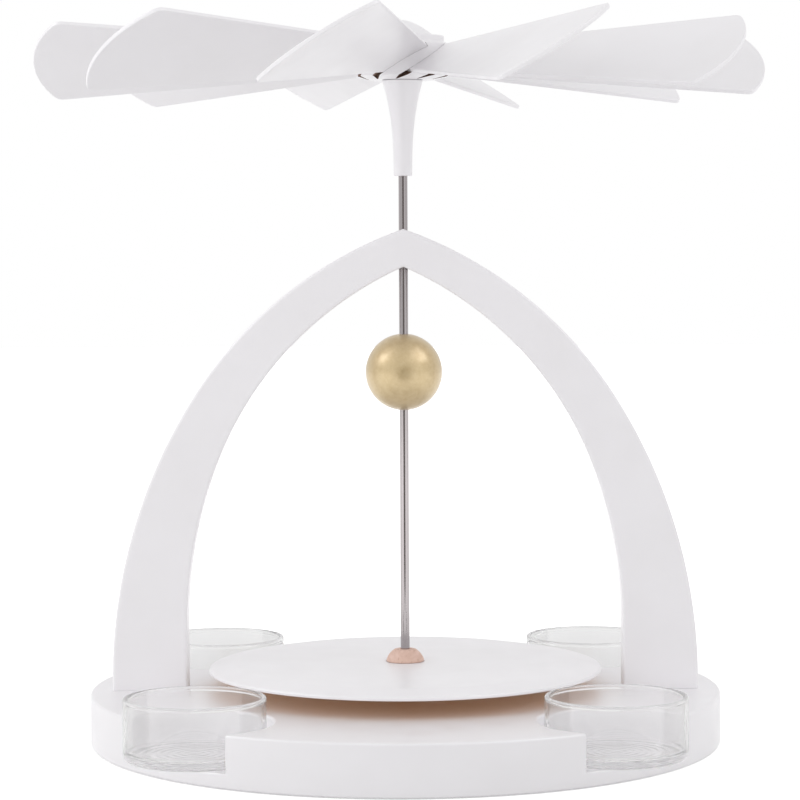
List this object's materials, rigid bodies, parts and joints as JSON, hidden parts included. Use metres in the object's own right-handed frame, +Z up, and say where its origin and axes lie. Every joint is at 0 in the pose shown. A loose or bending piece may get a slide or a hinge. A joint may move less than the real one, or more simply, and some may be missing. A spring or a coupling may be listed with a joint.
{
  "type": "candle carousel",
  "caption": "Table candle carousel: warm air from tealights on a round base turns a slanted wing wheel, its shaft and a figure platter under a pointed arch.",
  "frame": {"origin": "on the turning axis, at the underside of the base", "axes": "+Z up along the turning axis, +X along the arch's span to the right, the front looks along -Y"},
  "size_m": [0.3224, 0.3172, 0.3189],
  "materials": {
    "white_lacquer": "satin white lacquer on wood",
    "natural_beech": "fine-sanded natural beech",
    "gold_lacquer": "satin gold lacquer on wood",
    "ground_steel": "ground",
    "brass": "turned",
    "clear_glass": "clear, fire polished"
  },
  "bodies": {
    "stand": {"base_disc": "white_lacquer", "arch": "white_lacquer", "arch_bush": "brass", "pivot_socket": "brass", "pivot_cup": "ground_steel", "leg_dowel_left_outer": "natural_beech", "leg_dowel_left_inner": "natural_beech", "leg_dowel_right_inner": "natural_beech", "leg_dowel_right_outer": "natural_beech", "leg_screw_left": "ground_steel", "leg_screw_right": "ground_steel"},
    "spindle": {"shaft": "ground_steel", "platter": "white_lacquer", "platter_button": "natural_beech", "platter_boss": "natural_beech", "ball": "gold_lacquer"},
    "wing_wheel": {"wheel_stem": "white_lacquer", "wheel_hub": "white_lacquer", "hub_cap": "white_lacquer", "blade_01": "white_lacquer", "blade_02": "white_lacquer", "blade_03": "white_lacquer", "blade_04": "white_lacquer", "blade_05": "white_lacquer", "blade_06": "white_lacquer", "blade_07": "white_lacquer", "blade_08": "white_lacquer", "blade_09": "white_lacquer", "blade_10": "white_lacquer"},
    "cup_front_left": {"glass_cup_front_left": "clear_glass"},
    "cup_front_right": {"glass_cup_front_right": "clear_glass"},
    "cup_back_left": {"glass_cup_back_left": "clear_glass"},
    "cup_back_right": {"glass_cup_back_right": "clear_glass"}
  },
  "joints": [
    {"name": "spindle_spin", "type": "hinge", "parent": "stand", "child": "spindle", "pos_m": [0, 0, 0], "axis": [0, 0, 1], "continuous": true},
    {"name": "wing_wheel_lift", "type": "slide", "parent": "spindle", "child": "wing_wheel", "axis": [0, 0, 1], "range_m": [0, 0.05]},
    {"name": "cup_front_left_lift", "type": "slide", "parent": "stand", "child": "cup_front_left", "axis": [0, 0, 1], "range_m": [0, 0.03]},
    {"name": "cup_front_right_lift", "type": "slide", "parent": "stand", "child": "cup_front_right", "axis": [0, 0, 1], "range_m": [0, 0.03]},
    {"name": "cup_back_left_lift", "type": "slide", "parent": "stand", "child": "cup_back_left", "axis": [0, 0, 1], "range_m": [0, 0.03]},
    {"name": "cup_back_right_lift", "type": "slide", "parent": "stand", "child": "cup_back_right", "axis": [0, 0, 1], "range_m": [0, 0.03]}
  ]
}
